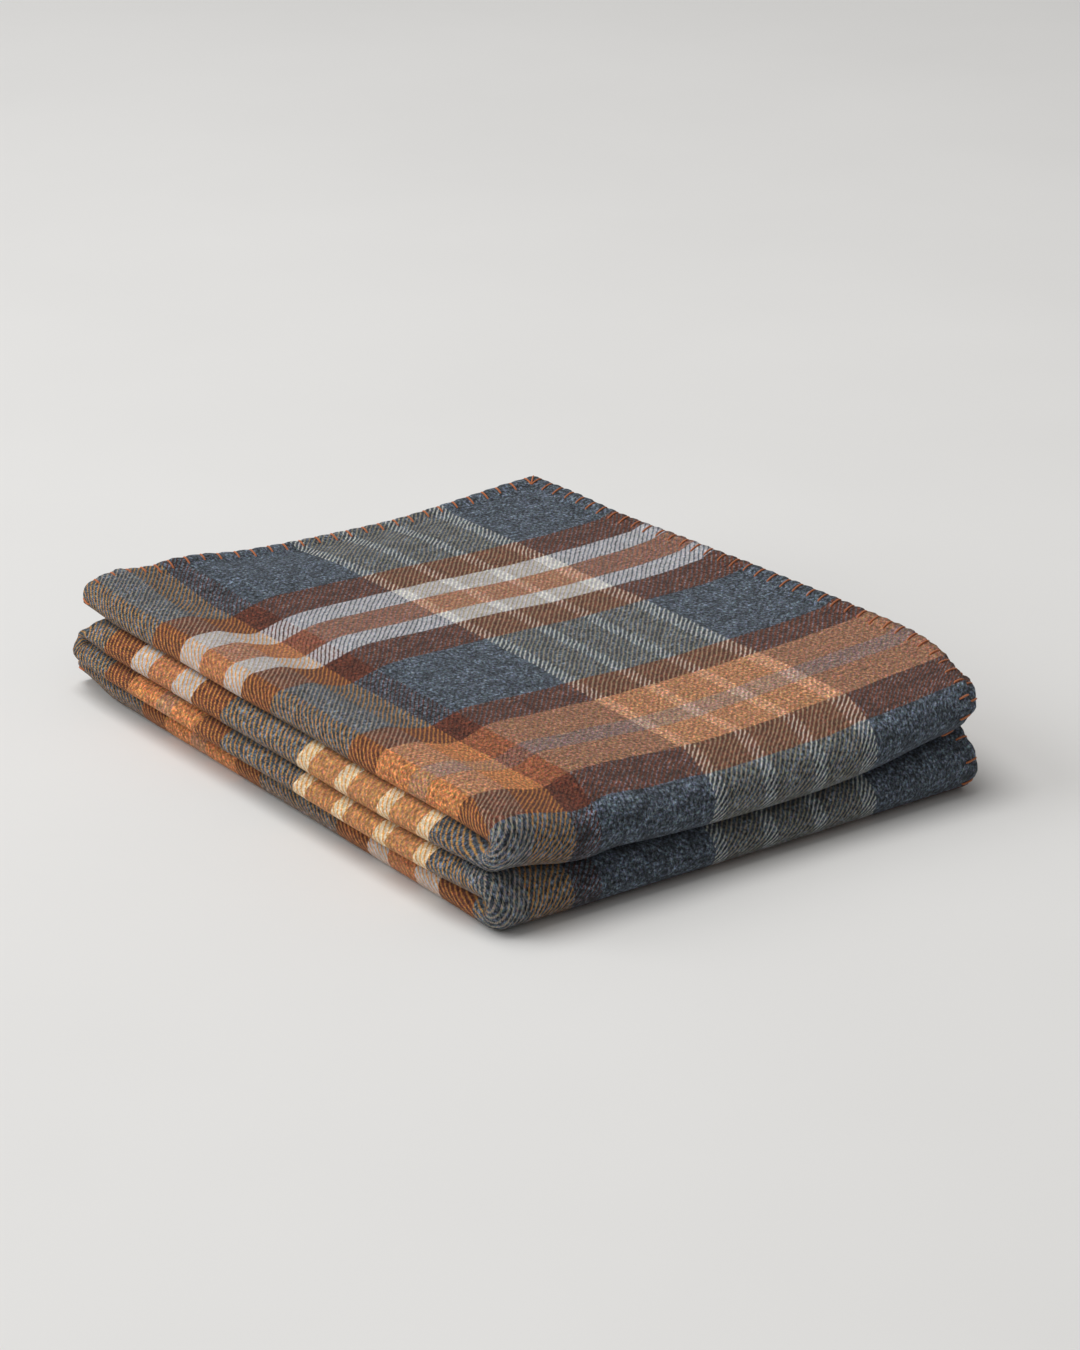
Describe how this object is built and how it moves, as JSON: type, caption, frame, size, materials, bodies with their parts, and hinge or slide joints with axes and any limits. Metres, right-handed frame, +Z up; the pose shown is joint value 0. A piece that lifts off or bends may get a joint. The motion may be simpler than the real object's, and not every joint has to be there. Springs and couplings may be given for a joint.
{
  "type": "camp blanket",
  "caption": "Woven wool plaid blanket folded into a flat rectangular stack, with contrasting overcast yarn along its edges.",
  "frame": {"origin": "on the surface the blanket lies on, under the middle of the stack's box", "axes": "+Z up, +Y along the longer side of the stack towards the cloth's two ends, -Y towards the two fat folds, -X towards the four rolled folds, +X towards the free stitched edges"},
  "size_m": [0.354, 0.458, 0.0643],
  "materials": {
    "plaid_wool": "fulled 2/2 twill wool, plaid in slate blue, browns, rust, orange, white and cream",
    "stitch_yarn": "burnt orange wool yarn"
  },
  "bodies": {
    "root": {"folded_wool_cloth": "plaid_wool", "whip_stitch_top_end": "stitch_yarn", "whip_stitch_bottom_end": "stitch_yarn", "whip_stitch_outer_side": "stitch_yarn", "whip_stitch_inner_side": "stitch_yarn"}
  },
  "joints": []
}
